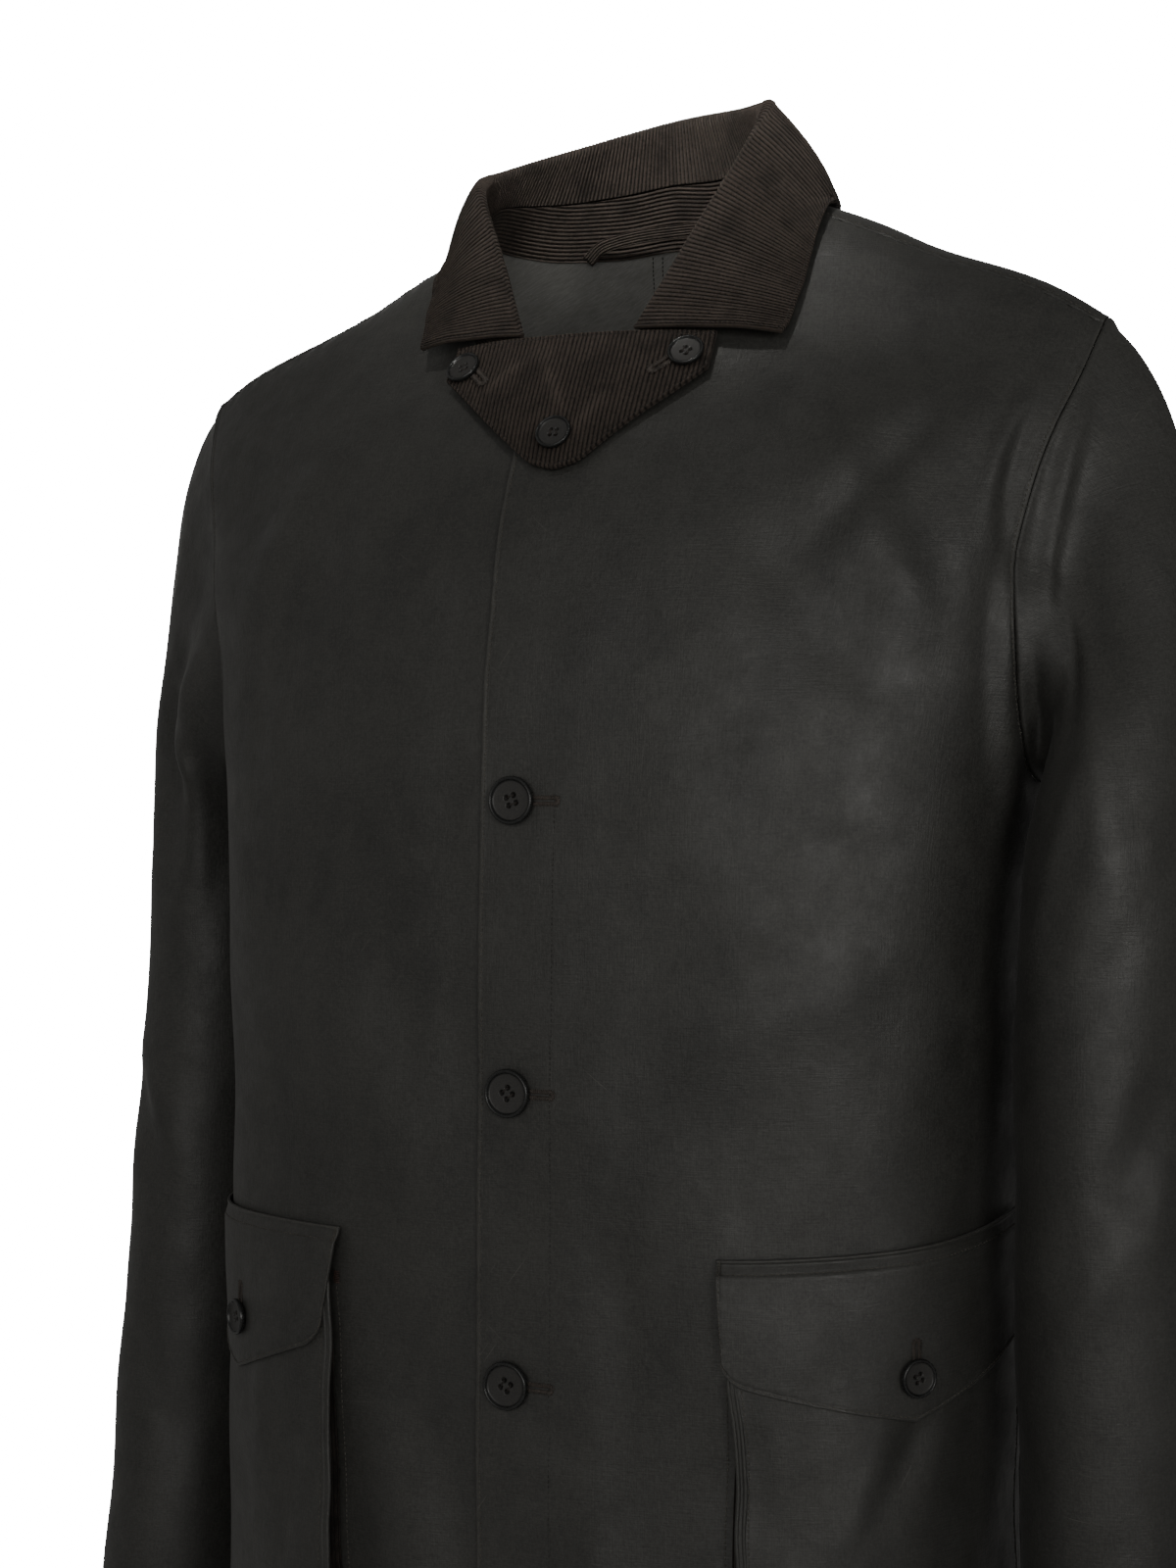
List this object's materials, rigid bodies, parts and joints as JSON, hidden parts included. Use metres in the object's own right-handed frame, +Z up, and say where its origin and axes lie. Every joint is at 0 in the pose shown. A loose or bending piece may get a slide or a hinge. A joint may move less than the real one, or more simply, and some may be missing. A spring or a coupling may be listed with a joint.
{
  "type": "waxed cotton jacket",
  "caption": "Hip-length waxed cotton jacket with a corduroy collar and throat tab, a buttoned front and bellows patch pockets; hollow and open at neck, hem and cuffs.",
  "frame": {"origin": "on the centre line at the base of the neck, between the two shoulders that carry the jacket", "axes": "+Z up along the wearer, -Y the front, +X the wearer's left"},
  "size_m": [0.6366, 0.2895, 0.8682],
  "materials": {
    "waxed_cotton": "waxed, soft satin sheen",
    "corduroy": "corduroy pile, matte",
    "brown_pile": "brushed pile, matte",
    "horn": "polished horn"
  },
  "bodies": {
    "root": {"front_left": "waxed_cotton", "front_right": "waxed_cotton", "back": "waxed_cotton", "sleeve_left": "waxed_cotton", "sleeve_right": "waxed_cotton", "pocket_left": "waxed_cotton", "pocket_right": "waxed_cotton", "pocket_flap_left": "waxed_cotton", "pocket_flap_right": "waxed_cotton", "pocket_gusset_left": "brown_pile", "pocket_gusset_right": "brown_pile", "collar_stand": "corduroy", "collar_fall": "corduroy", "throat_tab": "corduroy", "hanger_loop": "corduroy", "front_button_1": "horn", "front_button_2": "horn", "front_button_3": "horn", "front_button_4": "horn", "tab_button_1": "horn", "tab_button_2": "horn", "tab_button_3": "horn", "pocket_button_left": "horn", "pocket_button_right": "horn"}
  },
  "joints": []
}
